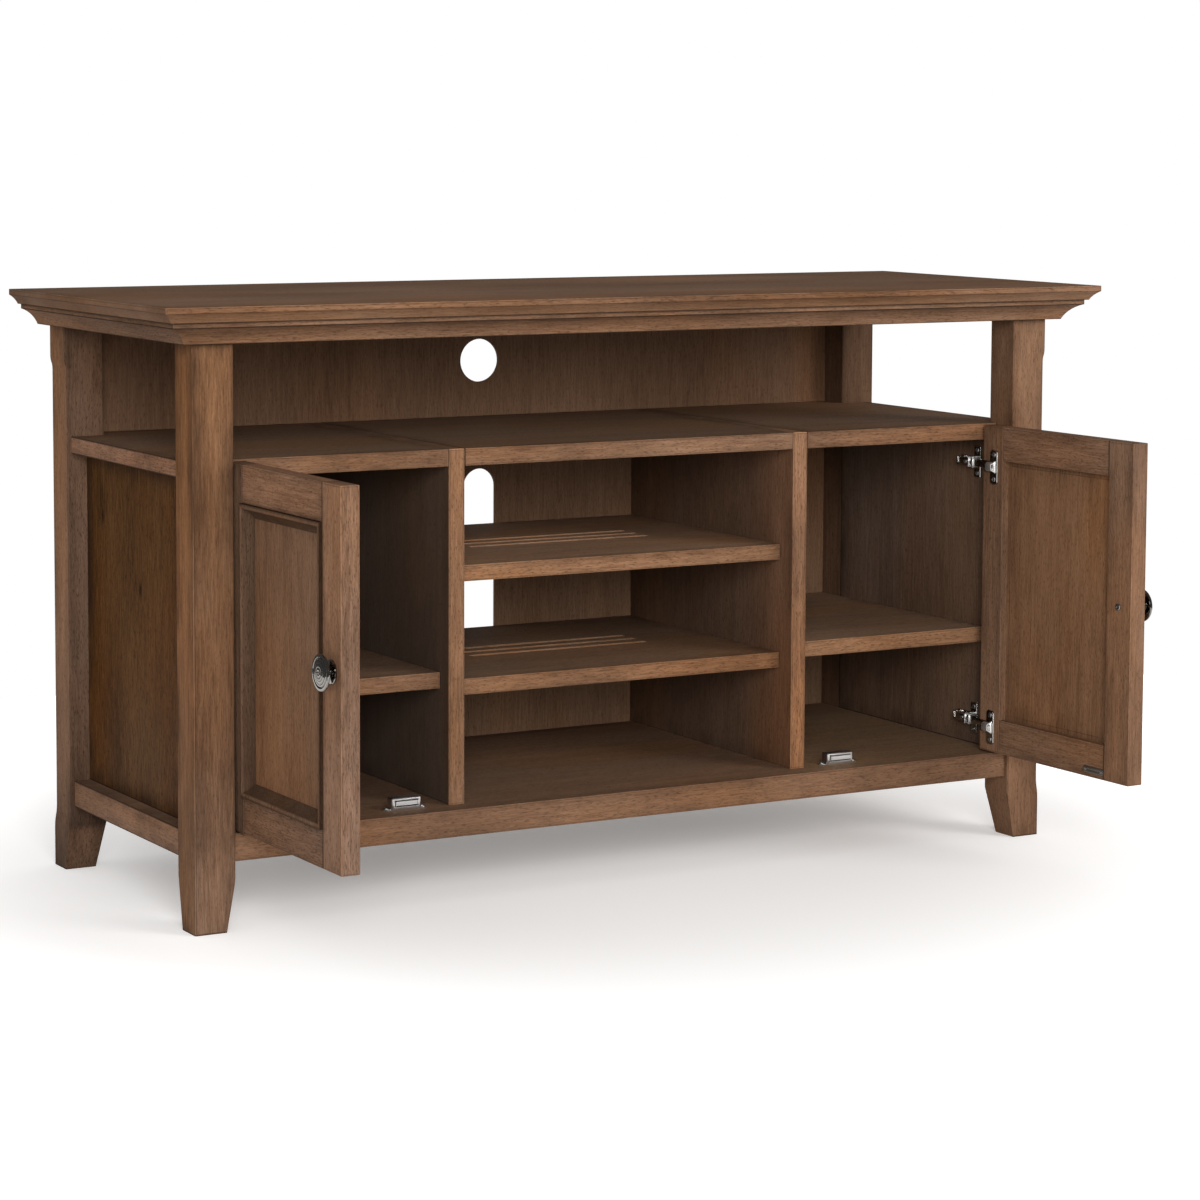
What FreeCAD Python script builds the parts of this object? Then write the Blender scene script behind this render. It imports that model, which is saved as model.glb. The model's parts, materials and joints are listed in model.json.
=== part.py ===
import FreeCAD, Part
import math, os

V = FreeCAD.Vector
os.makedirs("parts", exist_ok=True)

# overall size
width = 1372.0
depth = 524.0
height = 763.0

# moulded top: a board with a coved edge on a coved frame of rails
top_lip = 7.3
top_cove = 11.7
top_cove_sag = 1.2
top_quirk = 0.5
top_ease = 0.5
frame_step = 16.3
frame_fillet = 6.2
frame_cove_h = 20.8
frame_cove_w = 22.5
frame_cove_sag = 3.4

# posts, set in from the edges of the top
side_overhang = 54.5
front_overhang = 52.0
back_overhang = 2.0
post_w = 53.5
post_d = 52.5
post_relief = 2.9
relief_top_drop = 41.0
relief_top_run = 18.0
relief_foot_z = 50.0
relief_foot_run = 32.0
foot_taper = 12.0
foot_taper_z = 66.0
post_ease = 1.3

# deck, bottom, dividers, sides and back
open_bay_h = 144.0
deck_thick = 22.0
deck_setback = 37.2
bottom_top = 119.7
bottom_thick = 34.3
bottom_setback = 5.2
edge_inset = 8.0
bay_half = 246.1
divider_thick = 22.2
side_thick = 24.0
back_setback = 0.8
back_thick = 5.0
back_rabbet = 8.0
back_gap = 0.5
back_ease = 0.6
wood_ease = 0.8

# loose shelves, by the height of their tops above the bottom board
shelf_thick = 20.8
shelf_gap = 1.5
shelf_back_gap = 3.0
upper_shelf_up = 300.9
lower_shelf_up = 155.0
side_shelf_up = 167.4
center_shelf_setback = 27.6
side_shelf_setback = 21.2
vent_len = 275.0
vent_w = 12.0
vent_pitch = 31.0
pin_r = 2.5
pin_in = 9.0
pin_out = 8.0
pin_inset = 60.0

# cable openings in the back
hole_r = 30.0
hole_up = 77.5
slot_w = 50.0
slot_drop = 52.5
slot_up = 73.3

# doors
door_gap = 3.8
door_overlay = 10.5
door_t = 24.0
door_bottom_gap = 3.1
door_top_drop = 1.2
door_back_gap = 1.5
stile_hinge_w = 43.0
stile_free_w = 49.0
rail_w = 46.0
panel_t = 5.0
panel_recess = 9.0
panel_tongue = 8.0
panel_play = 1.0
bead_w = 17.2
bead_proud = 4.7
bead_strip = 5.5
bead_crown = 0.7
bead_sag = 1.6
bead_fillet = 0.8
left_open = 90.0
right_open = 91.3

# hinges: knuckle, leaf on the door, arm and mounting plate on the side
pivot_in = 8.0
hinge_low_up = 34.0
hinge_top_drop = 55.5
hinge_pin_r = 1.75
pin_play = 0.05
pocket_skin = 3.0
pocket_gap = 0.4
arm_h = 10.0
arm_half = 3.3
arm_reach = 49.3
arm_heel = 14.0
arm_seat = 4.0
arm_tail = 3.0
arm_tail_rise = 6.0
arm_slope = 18.0
cheek_t = 1.8
cheek_r = 3.4
cheek_w = 5.0
leaf_t = 1.5
leaf_from = 17.0
leaf_w = 16.0
leaf_h = 47.0
leaf_corner = 3.0
leaf_screw_in = 6.5
hood_h = 6.5
hood_ease = 2.0
plate_t = 3.0
plate_len = 45.0
plate_w = 14.0
plate_h = 43.0
plate_wing = 14.0
plate_ease = 0.6
plate_screw_in = 5.5

# turned knobs
knob_up = 233.0
knob_r = 22.0
knob_out = 17.4
knob_dome = 2.0
knob_rim_t = 3.6
knob_groove_r = 17.2
knob_groove_w = 2.6
knob_groove_d = 1.0
knob_neck_r = 5.6
knob_base_r = 14.4
knob_base_t = 2.6
knob_base_ease = 1.0
knob_screw_r = 2.0
knob_screw_in = 9.0
knob_screw_head_r = 4.6
knob_screw_head_h = 2.4

# strikes and magnetic catches
strike_w = 41.0
strike_h = 9.0
strike_t = 1.2
strike_free = 69.4
strike_up = 10.0
strike_corner = 1.8
strike_screw_in = 5.0
strike_screw_r = 1.2
strike_head_r = 2.1
strike_head_h = 0.35
strike_screw_len = 10.0
catch_gap = 0.4
catch_w = 41.0
catch_d = 15.0
catch_h = 15.5
catch_face = 1.5
catch_ease = 1.2
catch_flange_w = 60.0
catch_flange_t = 1.6
catch_flange_in = 3.0
catch_flange_corner = 4.0
magnet_w = 30.0
magnet_h = 5.0
magnet_up = 6.2
magnet_in = 0.6
pole_w = 32.0
pole_d = 11.0
pole_t = 1.6

# wood screws
screw_r = 1.5
screw_head_r = 3.4
screw_head_h = 1.3
plate_screw_len = 15.0
leaf_screw_len = 14.0
catch_screw_len = 14.0
back_screw_len = 18.0
back_screw_inset = 90.0

# cutters run this far past the wood
over = 20.0

# positions that follow from the sizes
top_thick = top_lip + top_cove + top_quirk
frame_thick = frame_fillet + frame_cove_h
under_top = height - top_thick
under_frame = under_top - frame_thick
post_out = width / 2 - side_overhang
post_in = post_out - post_w
front_y = front_overhang
front_in = front_y + post_d
rear_y = depth - back_overhang
rear_in = rear_y - post_d
deck_top = under_frame - open_bay_h
deck_under = deck_top - deck_thick
deck_front = front_y + deck_setback
bottom_under = bottom_top - bottom_thick
bottom_front = front_y + bottom_setback
panel_edge = post_out - edge_inset
bay_out = bay_half + divider_thick
back_rear = rear_y - back_setback
back_front = back_rear - back_thick
upper_shelf_top = bottom_top + upper_shelf_up
lower_shelf_top = bottom_top + lower_shelf_up
side_shelf_top = bottom_top + side_shelf_up
center_shelf_front = deck_front + center_shelf_setback
side_shelf_front = deck_front + side_shelf_setback
shelf_rear = back_front - shelf_back_gap
hole_z = deck_top + hole_up
slot_top = deck_under - slot_drop
slot_bottom = bottom_top + slot_up
door_z0 = bottom_top + door_bottom_gap
door_h = deck_top - door_top_drop - door_z0
door_face = deck_front - door_back_gap - door_t
hinge_edge = -post_in + door_gap
door_w = -bay_out + door_overlay - hinge_edge
pivot_x = hinge_edge + pivot_in
pivot_y = door_face + pivot_in
plate_y0 = pivot_y + arm_reach
plate_y1 = plate_y0 + plate_len
hinge_levels = (hinge_low_up, door_h - hinge_top_drop)
strike_u = door_w - strike_free

parts = {}


def box(x0, x1, y0, y1, z0, z1):
    return Part.makeBox(x1 - x0, y1 - y0, z1 - z0, V(x0, y0, z0))


def prism(points, along):
    pts = [V(*p) for p in points]
    return Part.Face(Part.makePolygon(pts + pts[:1])).extrude(V(*along))


def cyl(r, base, along):
    a = V(*along)
    return Part.makeCylinder(r, a.Length, V(*base), a)


def ease(shape, size, keep=lambda e: True):
    return shape.makeChamfer(size, [e for e in shape.Edges if keep(e)])


def eased_box(x0, x1, y0, y1, z0, z1, size=wood_ease):
    return ease(box(x0, x1, y0, y1, z0, z1), size)


def mid(e):
    return e.BoundBox.Center


def at(value, target):
    return abs(value - target) < 0.01


def mirrored(shape):
    return shape.mirror(V(0, 0, 0), V(1, 0, 0))


def both(shapes):
    return shapes + [mirrored(s) for s in shapes]


def cut(shape, tools):
    return shape.cut(Part.makeCompound(tools))


def joined(solids):
    return solids[0].multiFuse(solids[1:]).removeSplitter()


# a pan head screw: head on the surface at base, shank into the wood
def screw(base, out, length, r=screw_r, head_r=screw_head_r, head_h=screw_head_h):
    o, b = V(*out), V(*base)
    head = Part.makeCylinder(head_r, head_h, b, o)
    head = ease(head, head_h * 0.4, lambda e: at((mid(e) - b).dot(o), head_h))
    return head.fuse(screw_hole(base, out, length, r))


def screw_hole(base, out, length, r=screw_r):
    o = V(*out)
    return Part.makeCylinder(r, length, V(*base) - o * length, o)


# middle of a hollow arc from a to b that sinks by sag in the given direction
def hollow(a, b, sag, down):
    return (a + b) * 0.5 + down * (sag / down.Length)


# section of a cove that is cut away: a shallow arc from (edge, high) to (edge + w, low)
def cove_section(edge, z_high, z_low, w, sag):
    a, b = V(edge, 0, z_high), V(edge + w, 0, z_low)
    m = hollow(a, b, sag, V(z_high - z_low, 0, w))
    c, d = V(-over, 0, z_low), V(-over, 0, z_high)
    edges = [Part.Arc(a, m, b).toShape()]
    edges += [Part.makeLine(p, q) for p, q in ((b, c), (c, d), (d, a))]
    return Part.Face(Part.Wire(edges))


# a section run along the left side, and along the front
def run_left(face):
    s = face.extrude(V(0, depth + 2 * over, 0))
    s.translate(V(-width / 2, -over, 0))
    return s


def run_front(face):
    s = face.copy()
    s.rotate(V(0, 0, 0), V(0, 0, 1), 90)
    s = s.extrude(V(width + 2 * over, 0, 0))
    s.translate(V(-width / 2 - over, 0, 0))
    return s


def run_all(face):
    return both([run_left(face)]) + [run_front(face)]


# top board: lip, cove and quirk on the front and both sides
z_lip, z_quirk = height - top_lip, under_top + top_quirk
cove = cove_section(0, z_lip, z_quirk, top_cove, top_cove_sag)
quirk = Part.Face(Part.makePolygon([V(-over, 0, under_top - over), V(top_cove, 0, under_top - over),
                                    V(top_cove, 0, z_quirk), V(-over, 0, z_quirk),
                                    V(-over, 0, under_top - over)]))
slab = box(-width / 2, width / 2, 0, depth, under_top, height)
slab = ease(slab, top_ease, lambda e: at(mid(e).z, height) or at(e.Length, top_thick))
parts["top_board"] = cut(slab, run_all(cove) + run_all(quirk))

# coved rails under the board, mitred at the front corners
rail_cove = cove_section(frame_step, under_frame + frame_cove_h, under_frame, frame_cove_w, frame_cove_sag)
rail_x = -width / 2 + frame_step
far = side_overhang + post_w + front_overhang + post_d


# a cutter on one side of the mitre through the top's front left corner
def mitre_cut(*outline):
    z = under_frame - over
    return prism([(-width / 2 + x, y, z) for x, y in outline], (0, 0, frame_thick + 2 * over))


behind_mitre = mitre_cut((0, 0), (far, far), (0, far))
before_mitre = mitre_cut((0, 0), (far, far), (far, -far), (0, -far))
front_rail = box(rail_x, -rail_x, frame_step, front_in, under_frame, under_top).cut(run_front(rail_cove))
parts["cornice_front"] = cut(front_rail, both([behind_mitre]))
side_rail = box(rail_x, -post_in, frame_step, depth, under_frame, under_top).cut(run_left(rail_cove))
parts["cornice_left"] = side_rail.cut(before_mitre)
parts["cornice_right"] = mirrored(parts["cornice_left"])
parts["cornice_back"] = eased_box(-post_in, post_in, rear_in, rear_y, under_frame, under_top)


# a post: foot tapered on both inner faces, outer side plain or relieved between two ogee steps
def ogee(x0, z0, x1, z1):
    c = Part.BezierCurve()
    zm = (z0 + z1) / 2
    c.setPoles([V(x0, 0, z0), V(x0, 0, zm), V(x1, 0, zm), V(x1, 0, z1)])
    return c.toShape()


def line(x0, z0, x1, z1):
    return Part.makeLine(V(x0, 0, z0), V(x1, 0, z1))


def make_post(relieved):
    z1 = relief_foot_z
    z2 = relief_foot_z + relief_foot_run
    z4 = under_frame - relief_top_drop
    z3 = z4 - relief_top_run
    r, w, top, toe = post_relief, post_w, under_frame, post_w - foot_taper
    side = [line(0, 0, 0, top)]
    if relieved:
        side = [line(0, 0, 0, z1), ogee(0, z1, r, z2), line(r, z2, r, z3), ogee(r, z3, 0, z4),
                line(0, z4, 0, top)]
    wire = Part.Wire(side + [line(0, top, w, top), line(w, top, w, foot_taper_z),
                             line(w, foot_taper_z, toe, 0), line(toe, 0, 0, 0)])
    s = Part.Face(wire).extrude(V(0, post_d, 0))
    y, y_toe = post_d, post_d - foot_taper
    s = s.cut(prism([(-over, y, foot_taper_z), (-over, y_toe, 0), (-over, y_toe, -over),
                     (-over, y + over, -over), (-over, y + over, foot_taper_z)], (post_w + 2 * over, 0, 0)))
    tall = [e for e in s.Edges if e.BoundBox.ZLength > post_ease]
    outer = [e for e in tall if mid(e).x < post_relief + 0.01]
    s = s.makeChamfer(post_ease, outer)
    inner = [e for e in s.Edges if at(mid(e).x, post_w) and e.BoundBox.ZLength > 2 * foot_taper_z]
    s = s.makeChamfer(post_ease, inner)
    s.translate(V(-post_out, front_y, 0))
    return s


# the relieved posts stand at the front right and the back left, the plain ones at the other two corners
plain_post, relieved_post = make_post(False), make_post(True)
parts["post_front_left"] = plain_post
parts["post_front_right"] = mirrored(relieved_post)
rabbet = box(-post_in - back_rabbet, -post_in + over, back_front, rear_y + over,
             bottom_under, under_frame + over)


def rear_post(front, holes):
    return cut(front.mirror(V(0, (front_y + rear_y) / 2, 0), V(0, 1, 0)), [rabbet] + holes)


# a board's left end, notched round the posts: from the middle line at x_in out to the posts
def notched_end(x_in, y0):
    return [(-x_in, back_front), (-post_in, back_front), (-post_in, rear_in), (-panel_edge, rear_in),
            (-panel_edge, front_in), (-post_in, front_in), (-post_in, y0), (-x_in, y0)]


def board(outline, z0, z1):
    return prism([(x, y, z0) for x, y in outline], (0, 0, z1 - z0))


# deck in three lengths between the dividers, which run up flush with its top
deck = board(notched_end(bay_out, deck_front), deck_under, deck_top)
deck = ease(deck, wood_ease, lambda e: at(mid(e).y, deck_front) or at(mid(e).x, -panel_edge)
            or (at(mid(e).x, -bay_out) and at(mid(e).z, deck_top)))
deck_center = eased_box(-bay_half, bay_half, deck_front, back_front, deck_under, deck_top)
left_end = notched_end(0, bottom_front)[1:-1]
bottom = board(left_end + [(-x, y) for x, y in reversed(left_end)], bottom_under, bottom_top)
bottom = ease(bottom, wood_ease, lambda e: at(mid(e).y, bottom_front) or at(abs(mid(e).x), panel_edge))
divider = eased_box(-bay_out, -bay_half, deck_front, back_front, bottom_top, deck_top)
side = box(-post_in - side_thick, -post_in, front_in, rear_in, bottom_top, deck_under)

# back board set in the rear posts' rabbets, with a round cable hole and a long slot
edge = post_in + back_rabbet - back_gap
back = eased_box(-edge, edge, back_front, back_rear, bottom_under + back_gap, under_frame - back_gap,
                 back_ease)
r, y_cut, through = slot_w / 2, back_front - over, (0, back_thick + 2 * over, 0)
slot = joined([box(-r, r, y_cut, back_rear + over, slot_bottom + r, slot_top - r),
               cyl(r, (0, y_cut, slot_top - r), through), cyl(r, (0, y_cut, slot_bottom + r), through)])
back = cut(back, [cyl(hole_r, (0, y_cut, hole_z), through), slot])


# a center shelf: three long vents, round at their ends, across its middle
def center_shelf(top):
    half_w, half_vent = bay_half - shelf_gap, vent_len / 2 - vent_w / 2
    s = eased_box(-half_w, half_w, center_shelf_front, shelf_rear, top - shelf_thick, top)
    z, through = top - shelf_thick - over, shelf_thick + 2 * over
    for k in (-1, 0, 1):
        y = (center_shelf_front + shelf_rear) / 2 + k * vent_pitch
        bar = box(-half_vent, half_vent, y - vent_w / 2, y + vent_w / 2, z, z + through)
        rounds = [cyl(vent_w / 2, (x, y, z), (0, 0, through)) for x in (-half_vent, half_vent)]
        s = s.cut(joined([bar] + rounds))
    return s


parts["shelf_center_upper"] = center_shelf(upper_shelf_top)
parts["shelf_center_lower"] = center_shelf(lower_shelf_top)
parts["shelf_left"] = eased_box(-post_in + shelf_gap, -bay_out - shelf_gap, side_shelf_front, shelf_rear,
                                side_shelf_top - shelf_thick, side_shelf_top)
parts["shelf_right"] = mirrored(parts["shelf_left"])


# a shelf pin: part in the wall, part under the shelf
def shelf_pin(x_wall, toward, y, top):
    z = top - shelf_thick - pin_r
    return cyl(pin_r, (x_wall - toward * pin_in, y, z), (toward * (pin_in + pin_out), 0, 0))


def pin_row(x_wall, toward, front, top):
    return [shelf_pin(x_wall, toward, y, top) for y in (front + pin_inset, shelf_rear - pin_inset)]


divider_pins = [p for top in (upper_shelf_top, lower_shelf_top)
                for p in pin_row(-bay_half, 1, center_shelf_front, top)]
divider_pins += pin_row(-bay_out, -1, side_shelf_front, side_shelf_top)
side_pins = pin_row(-post_in, 1, side_shelf_front, side_shelf_top)
parts["shelf_pins"] = Part.makeCompound(both(divider_pins + side_pins))
parts["divider_left"] = cut(divider, divider_pins)
parts["divider_right"] = mirrored(parts["divider_left"])

# fixed half of the hinges: a cross-shaped plate on the side, and an arm out to the knuckle
plates, arms, plate_screws, plate_holes = [], [], [], []
for up in hinge_levels:
    hz, x0, x1 = door_z0 + up, -post_in, -post_in + plate_t
    plate = joined([box(x0, x1, plate_y0, plate_y1, hz - plate_w / 2, hz + plate_w / 2),
                    box(x0, x1, plate_y0, plate_y0 + plate_wing, hz - plate_h / 2, hz + plate_h / 2)])
    plate = ease(plate, plate_ease, lambda e: at(mid(e).x, x1))
    for k in (-1, 1):
        spot = (x1, plate_y0 + plate_wing / 2, hz + k * (plate_h / 2 - plate_screw_in))
        plate_screws.append(screw(spot, (1, 0, 0), plate_screw_len))
        plate_holes.append(screw_hole(spot, (1, 0, 0), plate_screw_len))
    plates.append(cut(plate, plate_holes[-2:]))
    xa, xb, z = pivot_x - arm_half, pivot_x + arm_half, hz - arm_h / 2
    plan = [(xa, pivot_y), (xa, plate_y0 - arm_heel), (x1, plate_y0 + arm_seat), (x1, plate_y1 - arm_tail),
            (x1 + arm_tail_rise, plate_y1), (xb, plate_y1 - arm_slope), (xb, pivot_y)]
    body = prism([(x, y, z) for x, y in plan], (0, 0, arm_h))
    eye = cyl(arm_half, (pivot_x, pivot_y, z), (0, 0, arm_h))
    bore = cyl(hinge_pin_r + pin_play, (pivot_x, pivot_y, z - over), (0, 0, arm_h + 2 * over))
    arms.append(joined([body, eye]).cut(bore))
parts["hinge_plates_left"] = Part.makeCompound(plates)
parts["hinge_plates_right"] = mirrored(parts["hinge_plates_left"])
parts["hinge_arms_left"] = Part.makeCompound(arms)
parts["hinge_arms_right"] = mirrored(parts["hinge_arms_left"])
parts["hinge_plate_screws"] = Part.makeCompound(both(plate_screws))
parts["side_panel_left"] = cut(side, side_pins + plate_holes)
parts["side_panel_right"] = mirrored(parts["side_panel_left"])

# magnetic catches on the bottom, in line with the strike on each closed door
cx, cy, cz = hinge_edge + strike_u, door_face + door_t + strike_t + catch_gap, bottom_top
flange = box(cx - catch_flange_w / 2, cx + catch_flange_w / 2, cy + catch_flange_in, cy + catch_d,
             cz, cz + catch_flange_t)
flange = ease(flange, catch_flange_corner, lambda e: at(e.Length, catch_flange_t))
shell = box(cx - catch_w / 2, cx + catch_w / 2, cy + catch_face, cy + catch_d, cz, cz + catch_h)
shell = ease(shell, catch_ease, lambda e: mid(e).z > cz + catch_flange_t and not at(mid(e).y, cy + catch_d))
m0, m1 = cz + magnet_up, cz + magnet_up + magnet_h
magnet = box(cx - magnet_w / 2, cx + magnet_w / 2, cy + magnet_in, cy + pole_d, m0, m1)
poles = [box(cx - pole_w / 2, cx + pole_w / 2, cy, cy + pole_d, z, z + pole_t) for z in (m0 - pole_t, m1)]
mouth = box(cx - pole_w / 2, cx + pole_w / 2, cy - over, cy + pole_d, m0 - pole_t, m1 + pole_t)
catch_screws, catch_holes = [], []
for k in (-1, 1):
    spot = (cx + k * (catch_w + catch_flange_w) / 4, cy + (catch_flange_in + catch_d) / 2,
            cz + catch_flange_t)
    catch_screws.append(screw(spot, (0, 0, 1), catch_screw_len))
    catch_holes.append(screw_hole(spot, (0, 0, 1), catch_screw_len))
parts["catch_left"] = cut(joined([flange, shell]), [mouth] + catch_holes)
parts["catch_right"] = mirrored(parts["catch_left"])
parts["catch_magnets"] = Part.makeCompound(both([magnet] + poles))
parts["catch_screws"] = Part.makeCompound(both(catch_screws))

# screws that hold the back board to the rear posts, deck and bottom
post_x = post_in + back_rabbet / 2
deck_z, bottom_z = (deck_top + deck_under) / 2, (bottom_top + bottom_under) / 2
post_spots = [(-post_x, z) for z in (bottom_top + back_screw_inset, (bottom_top + deck_under) / 2,
                                     (deck_top + under_frame) / 2)]
deck_spots = [(-bay_out - back_screw_inset, deck_z)]
center_spots = [(-bay_half + back_screw_inset, deck_z)]
bottom_spots = [(-bay_out - back_screw_inset, bottom_z), (-bay_half + back_screw_inset, bottom_z)]


def back_screws(spots):
    return [screw((x, back_rear, z), (0, 1, 0), back_screw_len) for x, z in spots]


def back_holes(spots):
    return [screw_hole((x, back_rear, z), (0, 1, 0), back_screw_len) for x, z in spots]


all_spots = post_spots + deck_spots + center_spots + bottom_spots
parts["back_panel"] = cut(back, both(back_holes(all_spots)))
parts["back_screws"] = Part.makeCompound(both(back_screws(all_spots)))
parts["post_back_left"] = rear_post(relieved_post, back_holes(post_spots))
parts["post_back_right"] = mirrored(rear_post(plain_post, back_holes(post_spots)))
parts["deck_left"] = cut(deck, back_holes(deck_spots))
parts["deck_right"] = mirrored(parts["deck_left"])
parts["deck_center"] = cut(deck_center, both(back_holes(center_spots)))
parts["bottom_panel"] = cut(bottom, both(back_holes(bottom_spots) + catch_holes))


# a door is made in its own axes: u from the hinge edge, v in from the outer face, z up from the bottom edge
opening_u = (stile_hinge_w, door_w - stile_free_w)
opening_z = (rail_w, door_h - rail_w)


def door_panel(play):
    t = panel_tongue - play
    return box(opening_u[0] - t, opening_u[1] + t, panel_recess, panel_recess + panel_t,
               opening_z[0] - t, opening_z[1] + t)


# raised bead round the panel, proud of the frame: crowned strip, cove and fillet, in four mitred lengths
def bead_section():
    high, low = bead_crown - bead_proud, panel_recess - bead_fillet
    a, b, e = V(0, high, 0), V(bead_strip, high, 0), V(bead_w, low, 0)
    crown = V(bead_strip / 2, -bead_proud, 0)
    dip = hollow(b, e, bead_sag, V(high - low, bead_w - bead_strip, 0))
    outline = [e, V(bead_w, panel_recess, 0), V(0, panel_recess, 0), a]
    edges = [Part.makeLine(p, q) for p, q in zip(outline, outline[1:])]
    edges += [Part.Arc(a, crown, b).toShape(), Part.Arc(b, dip, e).toShape()]
    return Part.Face(Part.Wire(edges))


def bead_length(length, turn, u, z):
    far, deep = bead_w + over, panel_recess + over
    s = bead_section().extrude(V(0, 0, length))
    for end, sign in ((0, 1), (length, -1)):
        s = s.cut(prism([(0, -over, end), (far, -over, end + sign * far), (far, -over, end - sign * over),
                         (0, -over, end - sign * over)], (0, deep + over, 0)))
    s.rotate(V(0, 0, 0), V(0, 1, 0), -turn)
    s.translate(V(u, 0, z))
    return s


def door_bead():
    (u1, u2), (z1, z2) = opening_u, opening_z
    w, h = u2 - u1, z2 - z1
    return Part.makeCompound([bead_length(h, 0, u1, z1), bead_length(w, 90, u2, z1),
                              bead_length(h, 180, u2, z2), bead_length(w, 270, u1, z2)])


# moving half of a hinge: a leaf on the inner face, and two cheeks in a pocket that hold the knuckle pin
def hinge_leaf(hz):
    u0, u1, top = leaf_from, leaf_from + leaf_w, door_t + leaf_t
    knuckle_h = arm_h / 2 + pocket_gap + cheek_t
    root, block_u = pivot_in + cheek_w, leaf_from + cheek_w
    leaf = box(u0, u1, door_t, top, hz - leaf_h / 2, hz + leaf_h / 2)
    leaf = ease(leaf, leaf_corner, lambda e: at(e.Length, leaf_t))
    block = box(root, block_u, pocket_skin + pocket_gap, top, hz - knuckle_h, hz + knuckle_h)
    hood = box(root, u1 - cheek_w, door_t, door_t + hood_h, hz - arm_h / 2, hz + arm_h / 2)
    hood = ease(hood, hood_ease, lambda e: at(mid(e).y, door_t + hood_h))
    cheeks = []
    for z in (hz - knuckle_h, hz + knuckle_h - cheek_t):
        cheeks.append(box(pivot_in, root, pocket_skin + pocket_gap, door_t, z, z + cheek_t))
        cheeks.append(box(pivot_in - cheek_r, pivot_in, pivot_in, door_t, z, z + cheek_t))
        cheeks.append(cyl(cheek_r, (pivot_in, pivot_in, z), (0, 0, cheek_t)))
    pin = cyl(hinge_pin_r, (pivot_in, pivot_in, hz - knuckle_h), (0, 0, 2 * knuckle_h))
    spots = [((u0 + u1) / 2, top, hz + k * (leaf_h / 2 - leaf_screw_in)) for k in (-1, 1)]
    holes = [screw_hole(s, (0, 1, 0), leaf_screw_len) for s in spots]
    pocket = box(-over, block_u + pocket_gap, pocket_skin, door_t + over,
                 hz - knuckle_h - pocket_gap, hz + knuckle_h + pocket_gap)
    solid = cut(joined([leaf, block, hood] + cheeks), [pin] + holes)
    return solid, pin, [screw(s, (0, 1, 0), leaf_screw_len) for s in spots], [pocket] + holes


# turned knob: flanged base, hollow neck, round rim, and a groove about a low dome
def knob_section():
    face, base = knob_out - knob_dome, knob_base_t
    under = face - knob_rim_t
    waist = (under - base) / 2
    g0, g1 = knob_groove_r - knob_groove_w / 2, knob_groove_r + knob_groove_w / 2
    ball = (g0 * g0 + knob_dome * knob_dome) / (2 * knob_dome)
    dome = knob_out - ball + math.sqrt(ball * ball - g0 * g0 / 4)
    rim = knob_rim_t / 2
    flat = lambda *pts: [Part.makeLine(V(*p), V(*q)) for p, q in zip(pts, pts[1:])]
    bow = lambda *pts: [Part.Arc(*[V(*p) for p in pts]).toShape()]
    edges = flat((0, knob_out), (0, 0), (knob_base_r, 0), (knob_base_r, base - knob_base_ease),
                 (knob_base_r - knob_base_ease, base), (knob_neck_r + waist, base))
    edges += bow((knob_neck_r + waist, base), (knob_neck_r, base + waist), (knob_neck_r + waist, under))
    edges += flat((knob_neck_r + waist, under), (knob_r - rim, under))
    edges += bow((knob_r - rim, under), (knob_r, under + rim), (knob_r - rim, face))
    edges += flat((knob_r - rim, face), (g1, face))
    edges += bow((g1, face), (knob_groove_r, face - knob_groove_d), (g0, face))
    edges += bow((g0, face), (g0 / 2, dome), (0, knob_out))
    return Part.Face(Part.Wire(edges))


def door_knob():
    u = door_w - stile_free_w / 2
    knob = knob_section().revolve(V(0, 0, 0), V(0, 1, 0), 360)
    knob.rotate(V(0, 0, 0), V(1, 0, 0), 180)
    knob.translate(V(u, 0, knob_up))
    spot, length = (u, door_t, knob_up), door_t + knob_screw_in
    bolt = screw(spot, (0, 1, 0), length, knob_screw_r, knob_screw_head_r, knob_screw_head_h)
    bore = screw_hole(spot, (0, 1, 0), length, knob_screw_r)
    return knob.cut(bore), bolt, bore


# steel plate that the catch holds
def door_strike():
    plate = box(strike_u - strike_w / 2, strike_u + strike_w / 2, door_t, door_t + strike_t,
                strike_up - strike_h / 2, strike_up + strike_h / 2)
    plate = ease(plate, strike_corner, lambda e: at(e.Length, strike_t))
    spots = [(strike_u + k * (strike_w / 2 - strike_screw_in), door_t + strike_t, strike_up) for k in (-1, 1)]
    holes = [screw_hole(s, (0, 1, 0), strike_screw_len, strike_screw_r) for s in spots]
    size = (strike_screw_len, strike_screw_r, strike_head_r, strike_head_h)
    return cut(plate, holes), [screw(s, (0, 1, 0), *size) for s in spots], holes


def make_door():
    (u1, u2), (z1, z2) = opening_u, opening_z
    groove = door_panel(0)
    halves = [hinge_leaf(hz) for hz in hinge_levels]
    pockets = [p for half in halves for p in half[3]]
    knob, bolt, bore = door_knob()
    strike, strike_screws, strike_holes = door_strike()
    d = {"panel": door_panel(panel_play), "bead": door_bead()}
    d["stile_hinge"] = cut(eased_box(0, u1, 0, door_t, 0, door_h), [groove] + pockets)
    d["stile_free"] = cut(eased_box(u2, door_w, 0, door_t, 0, door_h), [groove, bore])
    d["rail_top"] = eased_box(u1, u2, 0, door_t, z2, door_h).cut(groove)
    d["rail_bottom"] = cut(eased_box(u1, u2, 0, door_t, 0, z1), [groove] + strike_holes)
    d["hinge_leaves"] = Part.makeCompound([half[0] for half in halves])
    d["hinge_pins"] = Part.makeCompound([half[1] for half in halves])
    d["leaf_screws"] = Part.makeCompound([s for half in halves for s in half[2]])
    d["knob"] = knob
    d["knob_screw"] = bolt
    d["strike"] = strike
    d["strike_screws"] = Part.makeCompound(strike_screws)
    return d


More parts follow.
